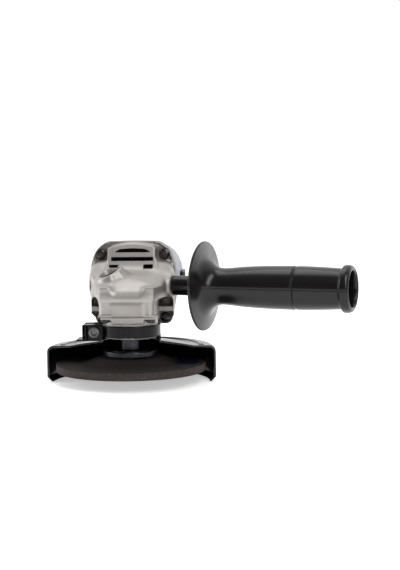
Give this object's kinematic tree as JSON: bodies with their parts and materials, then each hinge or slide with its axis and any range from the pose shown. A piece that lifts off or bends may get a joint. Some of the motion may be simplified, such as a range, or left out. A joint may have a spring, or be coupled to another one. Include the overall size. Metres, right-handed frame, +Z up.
{
  "type": "angle grinder",
  "caption": "Compact angle grinder with a cast gear head, slim motor body, half-round disc guard, grinding disc and a flanged side handle.",
  "frame": {"origin": "centre of the spindle's end face, where the disc is fitted", "axes": "+Z up along the spindle into the gear head, +Y back along the motor body, +X towards the side handle"},
  "size_m": [0.239, 0.272, 0.1078],
  "materials": {
    "cast_aluminium": "satin die-cast and tumbled",
    "black_steel": "black oxide",
    "dark_steel": "dark phosphate",
    "bright_steel": "ground",
    "rubber": "matte",
    "abrasive": "bonded abrasive grit",
    "guard_paint": "glossy black enamel",
    "band_paint": "satin black",
    "black_plastic": "fine texture",
    "white_plastic": "smooth",
    "housing_plastic": "fine moulded texture",
    "handle_plastic": "satin",
    "lamination": "stacked sheet",
    "copper": "enamelled copper",
    "brass": "drawn brass",
    "carbon": "matte carbon"
  },
  "bodies": {
    "housing": {"gear_housing": "cast_aluminium", "bearing_box": "cast_aluminium", "bearing_box_screw_1": "black_steel", "bearing_box_screw_2": "black_steel", "bearing_box_screw_3": "black_steel", "bearing_box_screw_4": "black_steel", "housing_screw_1": "black_steel", "housing_screw_2": "black_steel", "housing_screw_3": "black_steel", "housing_screw_4": "black_steel", "spindle_lower_bearing": "bright_steel", "spindle_bearing_retainer": "dark_steel", "spindle_upper_bearing": "bright_steel", "spindle_seal": "rubber", "lock_spring": "bright_steel", "motor_housing": "housing_plastic", "rear_cover": "housing_plastic", "rear_cover_screw": "black_steel", "baffle_plate": "black_plastic", "armature_front_bearing": "bright_steel", "bearing_retainer": "dark_steel", "armature_rear_bearing": "bright_steel", "rear_bearing_sleeve": "rubber", "stator": "lamination", "field_coil_upper": "copper", "field_coil_lower": "copper", "brush_holder_upper": "brass", "brush_holder_lower": "brass", "carbon_brush_upper": "carbon", "carbon_brush_lower": "carbon", "brush_cap_upper": "black_plastic", "brush_cap_lower": "black_plastic", "switch": "black_plastic"},
    "spindle_set": {"spindle": "dark_steel", "bevel_gear": "bright_steel", "inner_flange": "dark_steel", "grinding_disc": "abrasive", "disc_bore_ring": "bright_steel", "lock_nut": "dark_steel"},
    "armature_set": {"armature_shaft": "bright_steel", "armature_core": "lamination", "armature_winding_front": "copper", "armature_winding_rear": "copper", "commutator": "copper", "fan": "black_plastic", "bevel_pinion": "bright_steel"},
    "lock_plunger": {"lock_button": "black_plastic", "lock_pin": "bright_steel"},
    "guard_set": {"guard": "guard_paint", "guard_band": "band_paint", "guard_clamp_nut": "bright_steel"},
    "clamp_screw": {"guard_clamp_screw": "bright_steel"},
    "switch_slider": {"switch_rod": "white_plastic"},
    "switch_thumb": {"switch_knob": "black_plastic"},
    "handle_core": {"handle_stud": "bright_steel"},
    "side_handle": {"handle_grip": "handle_plastic"}
  },
  "joints": [
    {"name": "spindle_spin", "type": "hinge", "parent": "housing", "child": "spindle_set", "pos_m": [0, 0, 0], "axis": [0, 0, 1], "continuous": true},
    {"name": "armature_spin", "type": "hinge", "parent": "housing", "child": "armature_set", "pos_m": [0, 0, 0.064], "axis": [0, 1, 0], "continuous": true},
    {"name": "spindle_lock_press", "type": "slide", "parent": "housing", "child": "lock_plunger", "axis": [0.454, 0, -0.891], "range_m": [0, 0.0042], "stiffness_N_per_m": 400, "springref_m": -0.004, "deforming": ["lock_spring"]},
    {"name": "guard_turn", "type": "hinge", "parent": "housing", "child": "guard_set", "pos_m": [0, 0, 0.03], "axis": [0, 0, 1], "range_deg": [0, 150]},
    {"name": "guard_clamp_screw_turn", "type": "hinge", "parent": "guard_set", "child": "clamp_screw", "pos_m": [-0.0263, -0.0123, 0.0296], "axis": [0, -1, 0], "range_deg": [0, 1080]},
    {"name": "switch_slide", "type": "slide", "parent": "housing", "child": "switch_slider", "axis": [0, -1, 0], "range_m": [0, 0.0065]},
    {"name": "switch_lock_rock", "type": "hinge", "parent": "switch_slider", "child": "switch_thumb", "pos_m": [0.027, 0.079, 0.064], "axis": [0, 0, 1], "range_deg": [-3, 0]},
    {"name": "handle_travel", "type": "slide", "parent": "housing", "child": "handle_core", "axis": [0.9548, -0.2974, 0], "range_m": [0, 0.01]},
    {"name": "handle_screw_turn", "type": "hinge", "parent": "handle_core", "child": "side_handle", "pos_m": [0.033, 0.0055, 0.0635], "axis": [0.9548, -0.2974, 0], "range_deg": [0, 2880]}
  ],
  "couplings": [
    {"joint": "armature_spin", "follows": "spindle_spin", "ratio": 3.7},
    {"joint": "handle_screw_turn", "follows": "handle_travel", "rad_per_m": 5026.5}
  ]
}
